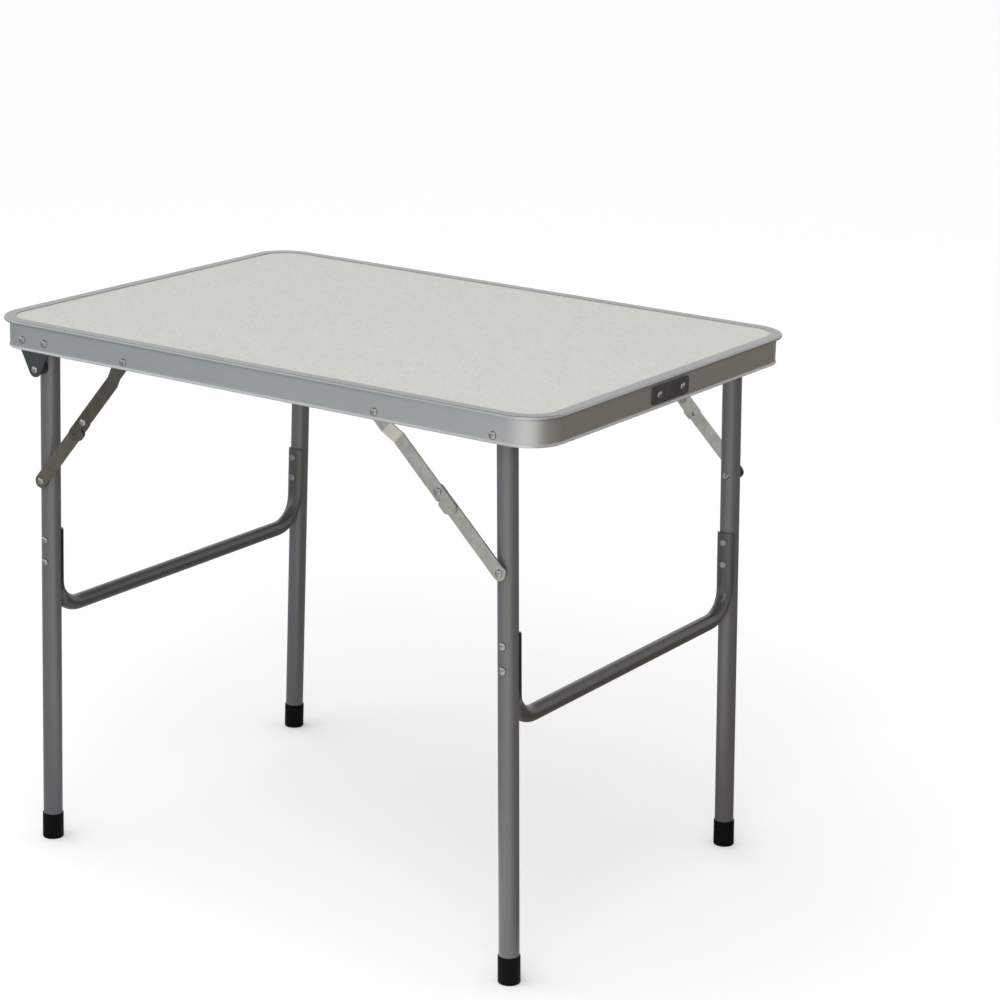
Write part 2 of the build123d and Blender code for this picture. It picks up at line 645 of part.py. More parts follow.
def all_pieces():
    pieces = {
        "tabletop_panel": tabletop_panel(),
        "rim_frame": rim_frame(),
        "splice_plate": splice_plate(),
        "splice_rivets": splice_rivets(),
        "bracket_rivets": bracket_rivets(),
        "leg_pivot_rivets": leg_pivot_rivets(),
        "pivot_spacers": pivot_spacers(),
        "brace_rim_rivets": brace_rim_rivets(),
        "handle_strap": strap_band(),
        "handle_end_caps": handle_end_caps(),
        "handle_screws": handle_screws(),
    }
    for side_name, side in SIDES.items():
        pieces[f"hinge_bracket_{side_name}"] = hinge_bracket(side)
    for frame in FRAMES:
        pieces[f"crossbar_{frame.name}"] = crossbar(frame)
        pieces[f"crossbar_rivets_{frame.name}"] = crossbar_rivets(frame)
        pieces[f"brace_pins_{frame.name}"] = brace_pins(frame)
        for side_name, side in SIDES.items():
            place = f"{side_name}_{frame.name}"
            pieces[f"leg_{place}"] = leg(frame, side)
            pieces[f"foot_cap_{place}"] = foot_cap(frame, side)
            pieces[f"brace_upper_link_{place}"] = frame.on_brace(side, upper_link(frame))
            pieces[f"brace_knee_rivet_{place}"] = frame.on_brace(side, knee_rivet(frame))
            pieces[f"brace_lower_link_{place}"] = frame.on_brace(side, lower_link(frame))
            pieces[f"brace_leg_rivet_{place}"] = frame.on_brace(side, leg_rivet_head(frame))
    return pieces


os.makedirs("parts", exist_ok=True)
for name, piece in all_pieces().items():
    shape = Compound(children=piece) if isinstance(piece, list) else piece
    export_step(shape, f"parts/{name}.step")
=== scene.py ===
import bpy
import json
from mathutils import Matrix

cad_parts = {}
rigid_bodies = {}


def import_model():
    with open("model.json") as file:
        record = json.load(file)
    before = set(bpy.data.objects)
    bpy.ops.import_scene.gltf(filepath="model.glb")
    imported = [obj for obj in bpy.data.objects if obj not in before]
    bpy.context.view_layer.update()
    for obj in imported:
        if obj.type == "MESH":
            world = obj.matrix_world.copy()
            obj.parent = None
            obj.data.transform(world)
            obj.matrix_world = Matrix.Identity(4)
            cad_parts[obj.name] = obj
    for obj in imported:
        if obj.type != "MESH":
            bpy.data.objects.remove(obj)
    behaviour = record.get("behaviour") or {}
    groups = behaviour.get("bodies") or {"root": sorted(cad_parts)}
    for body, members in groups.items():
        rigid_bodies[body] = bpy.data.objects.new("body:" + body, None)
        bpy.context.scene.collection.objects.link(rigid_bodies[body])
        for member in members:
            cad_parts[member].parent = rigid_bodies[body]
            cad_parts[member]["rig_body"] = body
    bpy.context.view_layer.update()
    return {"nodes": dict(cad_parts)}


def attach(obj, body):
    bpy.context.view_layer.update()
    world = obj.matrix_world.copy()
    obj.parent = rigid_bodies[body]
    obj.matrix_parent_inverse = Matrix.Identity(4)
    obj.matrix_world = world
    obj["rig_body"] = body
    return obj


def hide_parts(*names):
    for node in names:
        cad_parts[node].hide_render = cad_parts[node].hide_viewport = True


bl_info = {
    "name": "Folding camping table",
    "version": (1, 0, 0),
    "blender": (4, 5, 0),
    "location": "View3D > Sidebar > Camping table",
    "description": "Finishes the pieces of a folding camping table and sets its studio stage",
    "category": "Object",
}

import json
from math import cos, pi, radians, sin

import bmesh
import bpy
from bpy.props import FloatProperty, FloatVectorProperty, PointerProperty
from bpy.types import Operator, Panel, PropertyGroup
from mathutils import Matrix, Vector

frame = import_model()
SIDES = ("front", "back")
ENDS = ("left", "right")
MM = 0.001


def length_property(name, description, default):
    """A size in metres that a user can change."""
    return FloatProperty(
        name=name, description=description, default=default, min=0.0, unit="LENGTH", precision=5,
    )


def angle_property(name, description, degrees):
    """An angle that a user can change."""
    return FloatProperty(name=name, description=description, default=radians(degrees), subtype="ANGLE")


def strength_property(name, description, default):
    """A plain strength that a user can change."""
    return FloatProperty(name=name, description=description, default=default, min=0.0)


def colour_property(name, description, default):
    """A linear colour that a user can change."""
    return FloatVectorProperty(
        name=name, description=description, default=default, size=3, min=0.0, max=1.0, subtype="COLOR",
    )


class TableSizes(PropertyGroup):
    """Sizes of the fastenings, which seat on the faces of the frame."""

    head_diameter: length_property("Rivet head", "Width of a domed rivet head", 8.4 * MM)
    dome_height: length_property("Rivet dome", "Height of a rivet head's dome", 2.3 * MM)
    shank_diameter: length_property("Rivet shank", "Width of a rivet's shank", 5.0 * MM)
    tail_diameter: length_property("Rivet tail", "Width of a rolled rivet tail", 7.6 * MM)
    tail_roll: length_property("Tail roll", "Thickness of the roll of a rivet tail", 1.1 * MM)


class TableColours(PropertyGroup):
    """Base colours of the finishes."""

    board: colour_property("Board", "Off-white laminate", (0.55, 0.556, 0.508))
    board_fleck: colour_property("Board fleck", "Grey of the laminate's fine mottle", (0.445, 0.45, 0.412))
    rim: colour_property("Rim", "Satin extruded light metal", (0.385, 0.395, 0.395))
    leg: colour_property("Legs", "Dark grey metallic paint", (0.126, 0.127, 0.128))
    # Painted shade: the crossbars are painted like the legs, and this darker copy of the leg colour stands in
    # for the shade on them.
    crossbar: colour_property("Crossbars", "Darker metallic paint of the crossbars", (0.07, 0.069, 0.066))
    brace: colour_property("Braces", "Plated strip steel", (0.42, 0.40, 0.362))
    # Painted shade: the left braces are the same plated strip steel as the right ones, and this darker copy
    # of its colour stands in for the shade on them.
    shaded_left_brace: colour_property("Left braces", "Darker plating of the left braces", (0.125, 0.105, 0.085))
    plate: colour_property("Plates", "Dull plated sheet of brackets and splice", (0.088, 0.096, 0.098))
    rivet: colour_property("Rivets", "Bright plated rivets", (0.28, 0.28, 0.268))
    rubber: colour_property("Feet", "Black rubber of the foot caps", (0.0032, 0.0032, 0.0035))
    bush: colour_property("Spacers", "Black plastic of the pivot spacers", (0.016, 0.016, 0.017))
    strap: colour_property("Strap", "Soft grey of the carrying strap", (0.40, 0.41, 0.41))


def sizes():
    return bpy.context.scene.table_sizes


def colours():
    return bpy.context.scene.table_colours


def new_object(context, name, data):
    """An object in the scene, at the origin."""
    made = bpy.data.objects.new(name, data)
    context.scene.collection.objects.link(made)
    return made


# Node trees

# Sockets of the Mix node for colours, which share their names with those for plain values.
MIX_VALUE, MIX_FIRST, MIX_SECOND, MIX_RESULT = 0, 6, 7, 2


class Nodes:
    """A node tree that is built step by step."""

    def __init__(self, tree):
        self.tree = tree

    def node(self, kind, links=(), **values):
        made = self.tree.nodes.new(kind)
        for key, value in values.items():
            setattr(made, key, value)
        for socket, source in dict(links).items():
            target = made.inputs[socket]
            if isinstance(source, bpy.types.NodeSocket):
                self.tree.links.new(source, target)
            else:
                target.default_value = source
        return made

    def math(self, operation, first, second=0.0):
        made = self.node("ShaderNodeMath", {0: first, 1: second}, operation=operation)
        return made.outputs["Value"]


class Finish(Nodes):
    """A procedural material that is built node by node on Object coordinates."""

    def __init__(self, name):
        self.material = bpy.data.materials.new(name)
        self.material.use_nodes = True
        super().__init__(self.material.node_tree)
        self.shader = self.tree.nodes["Principled BSDF"]
        self.coords = self.tree.nodes.new("ShaderNodeTexCoord").outputs["Object"]

    def set(self, **values):
        for socket, value in values.items():
            self.shader.inputs[socket.replace("_", " ")].default_value = value
        return self

    def stretched(self, scale):
        """Object coordinates scaled differently along each axis, for brushed or drawn marks."""
        mapping = self.node("ShaderNodeMapping", {"Vector": self.coords, "Scale": scale})
        return mapping.outputs["Vector"]

    def noise(self, scale, detail=3.0, rough=0.5, vector=None):
        made = self.node("ShaderNodeTexNoise", {
            "Vector": vector or self.coords, "Scale": scale, "Detail": detail, "Roughness": rough,
        })
        return made.outputs["Fac"]

    def ramp(self, value, low, high):
        """Spreads a value from low..high over 0..1."""
        made = self.node("ShaderNodeMapRange", {"Value": value, "From Min": low, "From Max": high})
        return made.outputs["Result"]

    def between(self, value, low, high):
        """Takes a 0..1 value to the range low..high."""
        made = self.node("ShaderNodeMapRange", {"Value": value, "To Min": low, "To Max": high})
        return made.outputs["Result"]

    def blend(self, value, first, second):
        """Mixes two colours by a 0..1 value."""
        made = self.node("ShaderNodeMix", data_type="RGBA")
        for number, source in ((MIX_VALUE, value), (MIX_FIRST, first), (MIX_SECOND, second)):
            if isinstance(source, bpy.types.NodeSocket):
                self.tree.links.new(source, made.inputs[number])
            else:
                made.inputs[number].default_value = source
        return made.outputs[MIX_RESULT]

    def colour(self, output):
        self.tree.links.new(output, self.shader.inputs["Base Color"])

    def rough(self, output):
        self.tree.links.new(output, self.shader.inputs["Roughness"])

    def bump(self, height, strength, distance):
        made = self.node("ShaderNodeBump", {"Height": height, "Strength": strength, "Distance": distance})
        self.tree.links.new(made.outputs["Normal"], self.shader.inputs["Normal"])


def shade(colour, factor):
    """A colour made lighter or darker, with an alpha of one."""
    return tuple(min(1.0, part * factor) for part in colour[:3]) + (1.0,)


def board_laminate():
    """Off-white laminate with a fine cloudy mottle, as printed on melamine boards."""
    made = Finish("board_laminate").set(Roughness=0.42, Specular_IOR_Level=0.4)
    base, fleck = colours().board, colours().board_fleck
    fine = made.ramp(made.noise(420.0, 4.0, 0.62), 0.42, 0.62)
    cloud = made.ramp(made.noise(70.0, 3.0, 0.6), 0.35, 0.7)
    mottle = made.math("MULTIPLY", fine, made.between(cloud, 0.35, 1.0))
    tone = made.blend(mottle, shade(base, 1.04), shade(fleck, 1.12))
    dust = made.ramp(made.noise(900.0, 2.0, 0.5), 0.60, 0.72)
    made.colour(made.blend(made.math("MULTIPLY", dust, 0.30), tone, shade(fleck, 0.8)))
    made.rough(made.between(fine, 0.38, 0.5))
    made.bump(made.noise(600.0, 3.0), 0.06, 0.0002)
    return made.material


def rim_metal():
    """Satin extrusion with faint long draw lines and soft clouding."""
    made = Finish("rim_metal").set(Metallic=1.0)
    base = colours().rim
    lines = made.noise(1.0, 2.0, 0.5, made.stretched((6.0, 6.0, 2600.0)))
    cloud = made.noise(14.0, 3.0, 0.55)
    tone = made.math("ADD", made.math("MULTIPLY", lines, 0.5), made.math("MULTIPLY", cloud, 0.5))
    made.colour(made.blend(made.ramp(tone, 0.3, 0.7), shade(base, 0.93), shade(base, 1.06)))
    made.rough(made.between(lines, 0.36, 0.46))
    made.bump(lines, 0.05, 0.0002)
    return made.material


def tube_paint(name, base, rough_low, rough_high):
    """Metallic paint: fine flake, faint runs along the tube and a soft orange peel."""
    made = Finish(name).set(Metallic=0.55, Coat_Weight=0.12, Coat_Roughness=0.25)
    flake = made.ramp(made.noise(2600.0, 2.0, 0.6), 0.35, 0.68)
    runs = made.noise(1.0, 2.0, 0.5, made.stretched((60.0, 60.0, 9.0)))
    tone = made.math("ADD", made.math("MULTIPLY", flake, 0.6), made.math("MULTIPLY", runs, 0.4))
    made.colour(made.blend(tone, shade(base, 0.84), shade(base, 1.18)))
    made.rough(made.between(flake, rough_low, rough_high))
    made.bump(made.noise(380.0, 2.0, 0.5), 0.08, 0.0003)
    return made.material


def plated_steel(name, base, grain, rough_low, rough_high, cloud_scale):
    """Plated sheet steel: brushed grain, dull clouding and a few darker specks."""
    made = Finish(name).set(Metallic=1.0)
    brushed = made.noise(1.0, 2.0, 0.6, made.stretched(grain))
    cloud = made.noise(cloud_scale, 4.0, 0.6)
    tone = made.math("ADD", made.math("MULTIPLY", brushed, 0.45), made.math("MULTIPLY", cloud, 0.55))
    plate = made.blend(made.ramp(tone, 0.34, 0.66), shade(base, 0.80), shade(base, 1.12))
    speck = made.ramp(made.noise(cloud_scale * 14.0, 2.0, 0.5), 0.64, 0.72)
    made.colour(made.blend(made.math("MULTIPLY", speck, 0.35), plate, shade(base, 0.45)))
    made.rough(made.between(cloud, rough_low, rough_high))
    made.bump(brushed, 0.06, 0.0002)
    return made.material


def moulded(name, base, rough_low, rough_high, grain, shine=0.45, dust=(0.85, 1.7)):
    """Moulded plastic or rubber with a fine spark grain and slight dusty patches."""
    made = Finish(name).set(Specular_IOR_Level=shine)
    patches = made.noise(60.0, 3.0, 0.6)
    clean, dusty = (shade(base, factor) for factor in dust)
    made.colour(made.blend(made.ramp(patches, 0.4, 0.75), clean, dusty))
    made.rough(made.between(patches, rough_low, rough_high))
    made.bump(made.noise(grain, 2.0, 0.5), 0.15, 0.0003)
    return made.material


# Finishes on the pieces of the frame

def dress(material, *names):
    """Gives nodes of the frame a finish in place of the plain one."""
    for name in names:
        slots = frame["nodes"][name].data.materials
        slots.clear()
        slots.append(material)


def both_ends(*stems):
    return [f"{stem}_{end}" for stem in stems for end in ENDS]


def corners(*stems):
    return [f"{stem}_{side}_{end}" for stem in stems for side in SIDES for end in ENDS]


class TABLE_OT_top(Operator):
    """Finishes the board, the rim and the plates on it"""

    bl_idname = "camping_table.top"
    bl_label = "Board and rim"

    def execute(self, context):
        dress(board_laminate(), "tabletop_panel")
        dress(rim_metal(), "rim_frame")
        for name, factor, nodes in (
            ("bracket_zinc", 0.88, ("hinge_bracket_front", "hinge_bracket_back")),
            ("splice_zinc", 1.25, ("splice_plate",)),
        ):
            tone = shade(colours().plate, factor)
            dress(plated_steel(name, tone, (500.0, 500.0, 60.0), 0.34, 0.5, 45.0), *nodes)
        dress(moulded("spacer_black", colours().bush, 0.5, 0.66, 900.0, 0.25), "pivot_spacers")
        return {"FINISHED"}


class TABLE_OT_handle(Operator):
    """Finishes the carrying strap and its end caps"""

    bl_idname = "camping_table.handle"
    bl_label = "Strap handle"

    def execute(self, context):
        band, cap = colours().strap, shade(colours().strap, 0.9)
        hardly_dusty = (1.0, 1.1)
        dress(moulded("strap_grey", band, 0.5, 0.62, 1200.0, dust=hardly_dusty), "handle_strap")
        dress(moulded("cap_grey", cap, 0.4, 0.55, 1500.0, dust=hardly_dusty), "handle_end_caps")
        return {"FINISHED"}


class TABLE_OT_leg_frames(Operator):
    """Finishes the leg tubes, crossbars and foot caps"""

    bl_idname = "camping_table.leg_frames"
    bl_label = "Leg frames"

    def execute(self, context):
        dress(tube_paint("leg_paint", colours().leg, 0.36, 0.5), *corners("leg"))
        # The crossbar colour is darker than the legs' paint as painted shade.
        dress(tube_paint("crossbar_paint", colours().crossbar, 0.24, 0.38), *both_ends("crossbar"))
        dress(moulded("foot_black", colours().rubber, 0.55, 0.7, 700.0, 0.06), *corners("foot_cap"))
        return {"FINISHED"}


class TABLE_OT_braces(Operator):
    """Finishes the folding brace links"""

    bl_idname = "camping_table.braces"
    bl_label = "Braces"

    def execute(self, context):
        # The left braces take a darker colour than the right ones as painted shade.
        for end, base in (("right", colours().brace), ("left", colours().shaded_left_brace)):
            # Painted light: the lower left links get a lighter copy of the left braces' colour than the upper
            # ones, for the light that falls on them.
            for part, factor in (("upper", 1.0), ("lower", 1.4 if end == "left" else 1.0)):
                tone = shade(base, factor)
                steel = plated_steel(f"brace_{part}_{end}", tone, (120.0, 900.0, 120.0), 0.24, 0.36, 60.0)
                dress(steel, *[f"brace_{part}_link_{side}_{end}" for side in SIDES])
        return {"FINISHED"}


# Rivets

class RivetTree(Nodes):
    """Geometry Nodes tree that sets a domed rivet with its shank and rolled tail on every point."""

    SIZES = ("Head Diameter", "Dome Height", "Shank Diameter", "Tail Diameter", "Tail Roll")
    HEAD_SEGMENTS, HEAD_RINGS = 40, 24
    SHANK_SIDES = 32
    RING_STEPS, ROLL_STEPS = 40, 12
    # Share of the tail's roll that the shank reaches into.
    UPSET = 0.6
    # Faces of a head that look further down than this are its flat seat.
    SEAT_SLOPE = -0.5

    def __init__(self):
        super().__init__(bpy.data.node_groups.new("rivets", "GeometryNodeTree"))
        sockets = self.tree.interface
        sockets.new_socket("Geometry", in_out="INPUT", socket_type="NodeSocketGeometry")
        for name in self.SIZES:
            sockets.new_socket(name, in_out="INPUT", socket_type="NodeSocketFloat")
        sockets.new_socket("Finish", in_out="INPUT", socket_type="NodeSocketMaterial")
        sockets.new_socket("Geometry", in_out="OUTPUT", socket_type="NodeSocketGeometry")
        self.given = self.node("NodeGroupInput").outputs
        points = self.given["Geometry"]
        outward = self.attribute("outward", "FLOAT_VECTOR")
        grip = self.attribute("grip", "FLOAT")
        inward = self.scaled(outward, -1.0)
        ends = self.node("GeometryNodeSetPosition", {"Geometry": points, "Offset": self.scaled(inward, grip)})
        upset = self.math("MULTIPLY", self.given["Tail Roll"], self.UPSET)
        length = self.vector(1.0, 1.0, self.math("ADD", grip, upset))
        tailed = self.attribute("tailed", "BOOLEAN")
        joined = self.node("GeometryNodeJoinGeometry")
        for piece in (
            self.on_points(points, self.head(), outward),
            self.on_points(points, self.shank(), outward, Scale=length),
            self.on_points(ends.outputs[0], self.tail(), inward, Selection=tailed),
        ):
            self.tree.links.new(piece, joined.inputs[0])
        solid = self.node("GeometryNodeRealizeInstances", {"Geometry": joined.outputs[0]})
        dressed = self.node("GeometryNodeSetMaterial", {
            "Geometry": solid.outputs[0], "Material": self.given["Finish"],
        })
        self.node("NodeGroupOutput", {0: dressed.outputs[0]})

    def attribute(self, name, kind):
        made = self.node("GeometryNodeInputNamedAttribute", {"Name": name}, data_type=kind)
        return made.outputs["Attribute"]

    def vector(self, x, y, z):
        return self.node("ShaderNodeCombineXYZ", {"X": x, "Y": y, "Z": z}).outputs[0]

    def parts(self, kind):
        """X, Y and Z of a vector that a node of some kind gives."""
        return self.node("ShaderNodeSeparateXYZ", {0: self.node(kind).outputs[0]}).outputs

    def scaled(self, vector, factor):
        made = self.node("ShaderNodeVectorMath", {0: vector, "Scale": factor}, operation="SCALE")
        return made.outputs["Vector"]

    def half(self, name):
        return self.math("MULTIPLY", self.given[name], 0.5)

    def smooth(self, mesh, faces):
        made = self.node("GeometryNodeSetShadeSmooth", {"Geometry": mesh, "Shade Smooth": faces})
        return made.outputs[0]

    def on_points(self, points, piece, along, **links):
        """Sets a piece on the points with its own Z along a direction."""
        turn = self.node("FunctionNodeAlignRotationToVector", {"Vector": along}, axis="Z")
        links = {"Points": points, "Instance": piece, "Rotation": turn.outputs[0], **links}
        return self.node("GeometryNodeInstanceOnPoints", links).outputs[0]

    def head(self):
        """Dome on a flat seat: a ball whose lower half is pressed flat."""
        ball = self.node("GeometryNodeMeshUVSphere", {
            "Segments": self.HEAD_SEGMENTS, "Rings": self.HEAD_RINGS, "Radius": 1.0,
        })
        place = self.parts("GeometryNodeInputPosition")
        radius = self.half("Head Diameter")
        spread = [self.math("MULTIPLY", place[axis], radius) for axis in "XY"]
        rise = self.math("MULTIPLY", self.math("MAXIMUM", place["Z"]), self.given["Dome Height"])
        dome = self.node("GeometryNodeSetPosition", {
            "Geometry": ball.outputs[0], "Position": self.vector(*spread, rise),
        })
        normal = self.parts("GeometryNodeInputNormal")
        return self.smooth(dome.outputs[0], self.math("GREATER_THAN", normal["Z"], self.SEAT_SLOPE))

    def shank(self):
        """Round bar of unit length below the seat."""
        bar = self.node("GeometryNodeMeshCylinder", {
            "Vertices": self.SHANK_SIDES, "Radius": self.half("Shank Diameter"), "Depth": 1.0,
        })
        hung = self.node("GeometryNodeTransform", {0: bar.outputs[0], "Translation": (0.0, 0.0, -0.5)})
        return hung.outputs[0]

    def tail(self):
        """Ring of metal rolled over at the end of the shank."""
        roll = self.half("Tail Roll")
        middle = self.math("SUBTRACT", self.half("Tail Diameter"), roll)
        ring, section = (
            self.node("GeometryNodeCurvePrimitiveCircle", {"Resolution": steps, "Radius": radius}).outputs[0]
            for steps, radius in ((self.RING_STEPS, middle), (self.ROLL_STEPS, roll))
        )
        rolled = self.node("GeometryNodeCurveToMesh", {0: ring, "Profile Curve": section})
        seated = self.node("GeometryNodeTransform", {
            0: self.smooth(rolled.outputs[0], True), "Translation": self.vector(0.0, 0.0, roll),
        })
        return seated.outputs[0]


def solids(mesh):
    """Lowest and highest corners of the separate solids in a mesh."""
    shape = bmesh.new()
    shape.from_mesh(mesh)
    bmesh.ops.remove_doubles(shape, verts=shape.verts, dist=MM / 1000)
    seen = set()
    boxes = []
    for first in shape.verts:
        if first in seen:
            continue
        seen.add(first)
        reached = [first]
        for vert in reached:
            for edge in vert.link_edges:
                other = edge.other_vert(vert)
                if other not in seen:
                    seen.add(other)
                    reached.append(other)
        places = [vert.co for vert in reached]
        boxes.append([Vector(pick(axis) for axis in zip(*places)) for pick in (min, max)])
    shape.free()
    return boxes


def rivet_points(node):
    """Seat, outward direction and grip of each rivet in a node, and whether it has a tail."""
    for low, high in solids(frame["nodes"][node].data):
        middle = (low + high) / 2
        across = Vector((0, 1 if middle.y > 0 else -1, 0))
        outward = Vector((1, 0, 0)) if node == "splice_rivets" else across
        half = abs(outward.dot(high - low)) / 2
        tailed = not node.startswith("brace_leg_rivet")
        grip = 2 * half - sizes().dome_height - (sizes().tail_roll if tailed else 0.0)
        yield middle + outward * (half - sizes().dome_height), outward, grip, tailed


class TABLE_OT_rivets(Operator):
    """Sets the rivets with Geometry Nodes, one piece for each moving body, and finishes pins and screws"""

    bl_idname = "camping_table.rivets"
    bl_label = "Rivets"

    def execute(self, context):
        bright = plated_steel("rivet_metal", colours().rivet, (300.0, 300.0, 300.0), 0.12, 0.24, 120.0)
        dress(bright, "handle_screws", *both_ends("brace_pins"))
        names = ["splice_rivets", "bracket_rivets", "leg_pivot_rivets", "brace_rim_rivets"]
        names += both_ends("crossbar_rivets") + corners("brace_knee_rivet", "brace_leg_rivet")
        tree = RivetTree().tree
        riders = {}
        for name in names:
            riders.setdefault(frame["nodes"][name]["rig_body"], []).append(name)
        for body, nodes in riders.items():
            made = self.set_rivets(context, tree, f"rivets_on_{body}", nodes, bright)
            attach(made, body)
            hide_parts(*nodes)
        return {"FINISHED"}

    def set_rivets(self, context, tree, name, nodes, material):
        points = [point for node in nodes for point in rivet_points(node)]
        seats, directions, grips, tails = zip(*points)
        mesh = bpy.data.meshes.new(f"{name}_seats")
        mesh.from_pydata(seats, [], [])
        outward = [part for direction in directions for part in direction]
        for key, kind, field, values in (
            ("outward", "FLOAT_VECTOR", "vector", outward),
            ("grip", "FLOAT", "value", grips),
            ("tailed", "BOOLEAN", "value", tails),
        ):
            mesh.attributes.new(key, kind, "POINT").data.foreach_set(field, values)
        made = new_object(context, name, mesh)
        modifier = made.modifiers.new("rivets", "NODES")
        modifier.node_group = tree
        wanted = {size: getattr(sizes(), size.lower().replace(" ", "_")) for size in RivetTree.SIZES}
        wanted["Finish"] = material
        for socket in tree.interface.items_tree:
            if socket.in_out == "INPUT" and socket.name in wanted:
                modifier[socket.identifier] = wanted[socket.name]
        solid = bpy.data.meshes.new_from_object(made.evaluated_get(context.evaluated_depsgraph_get()))
        made.modifiers.remove(modifier)
        made.data = solid
        solid.name = name
        bpy.data.meshes.remove(mesh)
        if not solid.polygons:
            raise RuntimeError(f"{name} came out empty")
        return made


# Stage

WHITE = (1.0, 1.0, 1.0, 1.0)
FLOOR_RADIUS = 14.0
# Height over the floor of the card that polished faces see in its place.
CARD_LIFT = 0.5 * MM
DISC_SEGMENTS = 96
SENSOR_WIDTH = 36.0
FAR_CLIP = 100.0
CAMERA_AIM = Vector((0.0, 0.0, 0.3))
SOFT_BOX_AIM = Vector((0.0, 0.0, 0.45))
KEY_LIGHT_TURN = (radians(28), radians(-18), radians(-20))
FULL_TURN = 360


def seen_rays(nodes):
    """One for camera, glossy and transmission rays, zero for the rest."""
    path = nodes.node("ShaderNodeLightPath").outputs
    seen = nodes.math("MAXIMUM", path["Is Camera Ray"], path["Is Glossy Ray"])
    return nodes.math("MAXIMUM", seen, path["Is Transmission Ray"])


def away(around, up_angle):
    """Direction from the table to a place at a bearing and a height angle."""
    return Vector((sin(around) * cos(up_angle), -cos(around) * cos(up_angle), sin(up_angle)))


class StageSettings(PropertyGroup):
    """Studio stage: camera, floor and lights."""

    ambient: strength_property("Ambient", "Light from all round", 0.60)
    key_light: strength_property("Key light", "Strength of the soft key light", 1.2)
    box_light: strength_property("Soft box", "Power of the soft box", 16.0)
    box_size: length_property("Soft box width", "Width of the soft box", 2.0)
    box_distance: length_property("Soft box distance", "Distance of the soft box from the table", 2.8)
    box_azimuth: angle_property("Soft box bearing", "Bearing of the soft box", 30)
    box_elevation: angle_property("Soft box height", "Height angle of the soft box", 40)
    key_angle: angle_property("Key softness", "Angular width of the key light", 95)
    ceiling: FloatVectorProperty(
        name="Ceiling", description="Tone of the ceiling in mirror rays", default=(0.42, 0.43, 0.44, 1.0),
        size=4, subtype="COLOR",
    )
    ceiling_radius: length_property("Ceiling radius", "Reach of the dim ceiling", 5.4)
    ceiling_height: length_property("Ceiling height", "Height of the dim ceiling", 4.5)
    floor_lift: strength_property("Floor lift", "Whitening of the floor as seen", 0.07)
    focal: FloatProperty(name="Focal length", description="Camera lens in millimetres", default=99.9, min=1.0)
    azimuth: angle_property("Azimuth", "Camera bearing", 33.35)
    elevation: angle_property("Elevation", "Camera height angle", 16.17)
    roll: angle_property("Roll", "Camera roll", 1.54)
    distance: length_property("Distance", "Camera distance from the middle of the table", 3.027)
    slide_right: length_property("Slide right", "Sideways place of the camera", 0.1202)
    slide_up: length_property("Slide up", "Upward place of the camera", 0.0907)


def stage():
    return bpy.context.scene.table_stage


# Tones of the floor as polished faces see it, by bearing in degrees: 0 is the front, 90 the right.
REFLECTED = (
    (-180, (0.34, 0.32, 0.29)),
    (-90, (0.50, 0.54, 0.57)),
    (-40, (0.60, 0.67, 0.69)),
    (-8, (0.90, 0.95, 0.96)),
    (28, (1.70, 1.66, 1.58)),
    (52, (1.45, 1.38, 1.26)),
    (75, (0.34, 0.29, 0.23)),
    (150, (0.24, 0.19, 0.14)),
    (180, (0.34, 0.32, 0.29)),
)


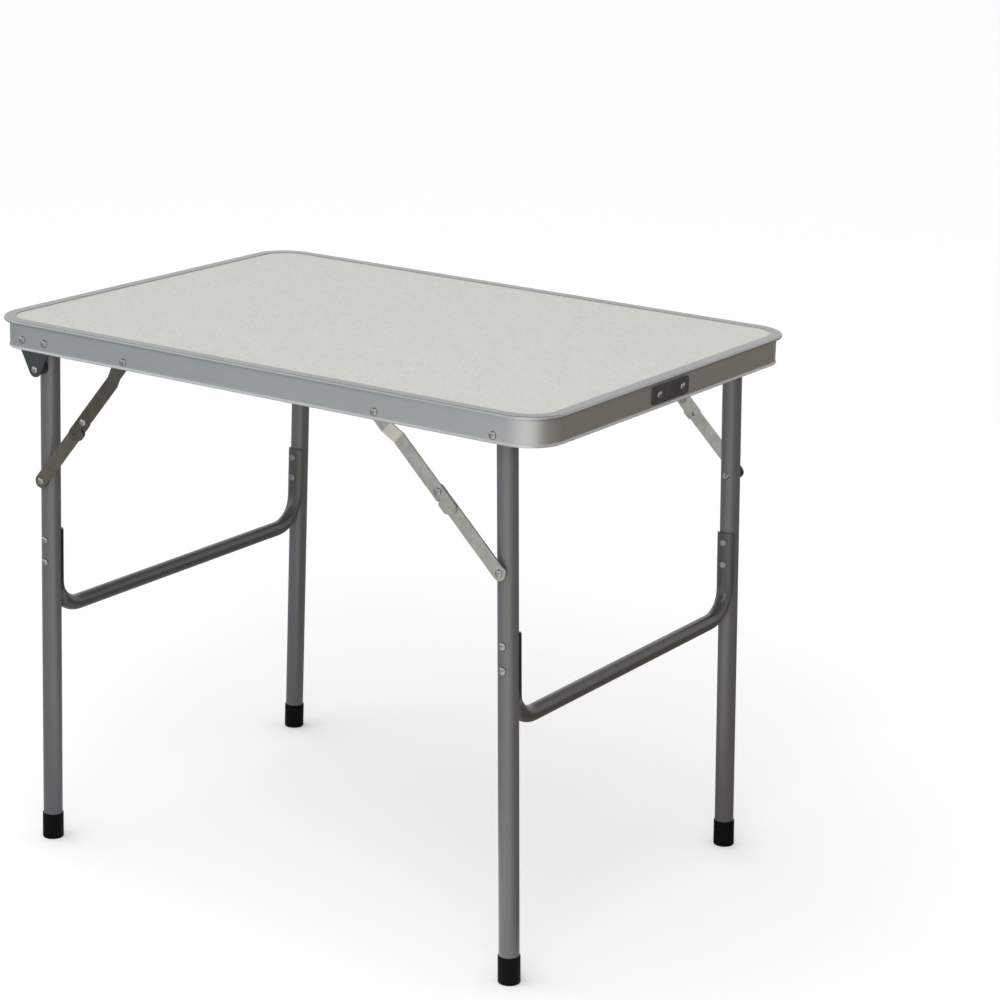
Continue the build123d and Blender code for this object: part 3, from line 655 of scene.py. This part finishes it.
class TABLE_OT_stage(Operator):
    """Sets the camera, the pale floor and the soft lights"""

    bl_idname = "camping_table.stage"
    bl_label = "Stage"

    def execute(self, context):
        self.camera(context)
        self.floor(context)
        self.reflected_floor(context)
        self.reflected_ceiling(context)
        self.light(context)
        context.scene.view_settings.view_transform = "Standard"
        return {"FINISHED"}

    def camera(self, context):
        values = stage()
        around, roll = values.azimuth, values.roll
        back = away(around, values.elevation)
        level = Vector((cos(around), sin(around), 0.0))
        upright = back.cross(level)
        right = level * cos(roll) + upright * sin(roll)
        up = upright * cos(roll) - level * sin(roll)
        place = CAMERA_AIM + back * values.distance + right * values.slide_right + up * values.slide_up
        data = bpy.data.cameras.new("table_camera")
        data.lens = values.focal
        data.sensor_width = SENSOR_WIDTH
        data.clip_end = FAR_CLIP
        made = new_object(context, "table_camera", data)
        turn = Matrix((right, up, back)).transposed()
        made.matrix_world = Matrix.Translation(place) @ turn.to_4x4()
        context.scene.camera = made

    def disc(self, context, name, radius, height, material):
        mesh = bpy.data.meshes.new(name)
        shape = bmesh.new()
        bmesh.ops.create_circle(
            shape, cap_ends=True, radius=radius, segments=DISC_SEGMENTS,
            matrix=Matrix.Translation((0, 0, height)),
        )
        shape.to_mesh(mesh)
        shape.free()
        mesh.materials.append(material)
        made = new_object(context, name, mesh)
        return made

    def floor(self, context):
        paper = Finish("studio_floor").set(
            Base_Color=(0.985, 0.985, 0.985, 1.0), Roughness=0.9, Specular_IOR_Level=0.0,
            Emission_Color=WHITE,
        )
        lift = paper.math("MULTIPLY", seen_rays(paper), stage().floor_lift)
        paper.tree.links.new(lift, paper.shader.inputs["Emission Strength"])
        self.disc(context, "studio_floor", FLOOR_RADIUS, 0.0, paper.material)

    def reflected_floor(self, context):
        """A card that only polished faces see: bright before the camera, cool at the left, dim behind."""
        card = Finish("reflection_card")
        place = card.node("ShaderNodeSeparateXYZ", {0: card.coords}).outputs
        bearing = card.math("ARCTAN2", place["X"], card.math("MULTIPLY", place["Y"], -1.0))
        turn = card.node("ShaderNodeMapRange", {"Value": bearing, "From Min": -pi, "From Max": pi})
        ramp = card.node("ShaderNodeValToRGB", {"Fac": turn.outputs["Result"]})
        stops = ramp.color_ramp.elements
        for degrees, tone in REFLECTED[1:-1]:
            stops.new(0.5 + degrees / FULL_TURN)
        for stop, (degrees, tone) in zip(stops, REFLECTED):
            stop.color = (*tone, 1.0)
        self.card(context, card, ramp.outputs["Color"], FLOOR_RADIUS, CARD_LIFT)

    def reflected_ceiling(self, context):
        """A dim card high above, so that only faces that look well upward darken."""
        card = Finish("ceiling_card")
        self.card(context, card, stage().ceiling, stage().ceiling_radius, stage().ceiling_height)

    def card(self, context, finish, colour, radius, height):
        """A glowing disc that only mirror rays meet."""
        glow = finish.node("ShaderNodeEmission", {"Color": colour})
        finish.tree.links.new(glow.outputs[0], finish.tree.nodes["Material Output"].inputs["Surface"])
        finish.material.cycles.emission_sampling = "NONE"
        made = self.disc(context, finish.material.name, radius, height, finish.material)
        for ray in ("camera", "diffuse", "transmission", "volume_scatter", "shadow"):
            setattr(made, f"visible_{ray}", False)

    def light(self, context):
        values = stage()
        world = bpy.data.worlds.new("studio_light")
        context.scene.world = world
        world.use_nodes = True
        sky = Nodes(world.node_tree)
        background = sky.tree.nodes["Background"].inputs
        background["Color"].default_value = WHITE
        strength = sky.node("ShaderNodeMapRange", {
            "Value": seen_rays(sky), "To Min": values.ambient, "To Max": 1.0,
        })
        sky.tree.links.new(strength.outputs["Result"], background["Strength"])
        data = bpy.data.lights.new("key_light", "SUN")
        data.energy = values.key_light
        data.angle = values.key_angle
        new_object(context, "key_light", data).rotation_euler = KEY_LIGHT_TURN
        data = bpy.data.lights.new("soft_box", "AREA")
        data.energy = values.box_light
        data.shape = "DISK"
        data.size = values.box_size
        made = new_object(context, "soft_box", data)
        back = away(values.box_azimuth, values.box_elevation)
        made.location = SOFT_BOX_AIM + back * values.box_distance
        made.rotation_euler = back.to_track_quat("Z", "Y").to_euler()


class TABLE_PT_panel(Panel):
    """Buttons that finish the table piece by piece"""

    bl_idname = "TABLE_PT_camping_table"
    bl_label = "Camping table"
    bl_space_type = "VIEW_3D"
    bl_region_type = "UI"
    bl_category = "Camping table"

    def draw(self, context):
        for operator in OPERATORS:
            self.layout.operator(operator.bl_idname)
        for group in ("table_sizes", "table_colours", "table_stage"):
            values = getattr(context.scene, group)
            box = self.layout.box()
            for name in values.__annotations__:
                box.prop(values, name)


OPERATORS = (
    TABLE_OT_top, TABLE_OT_handle, TABLE_OT_leg_frames, TABLE_OT_braces, TABLE_OT_rivets, TABLE_OT_stage,
)
GROUPS = {"table_sizes": TableSizes, "table_colours": TableColours, "table_stage": StageSettings}


def register():
    for kind in (*GROUPS.values(), *OPERATORS, TABLE_PT_panel):
        bpy.utils.register_class(kind)
    for name, kind in GROUPS.items():
        setattr(bpy.types.Scene, name, PointerProperty(type=kind))


def unregister():
    for name in GROUPS:
        delattr(bpy.types.Scene, name)
    for kind in reversed((*GROUPS.values(), *OPERATORS, TABLE_PT_panel)):
        bpy.utils.unregister_class(kind)


def main():
    register()
    for operator in OPERATORS:
        group, name = operator.bl_idname.split(".")
        getattr(getattr(bpy.ops, group), name)()


if __name__ == "__main__":
    main()
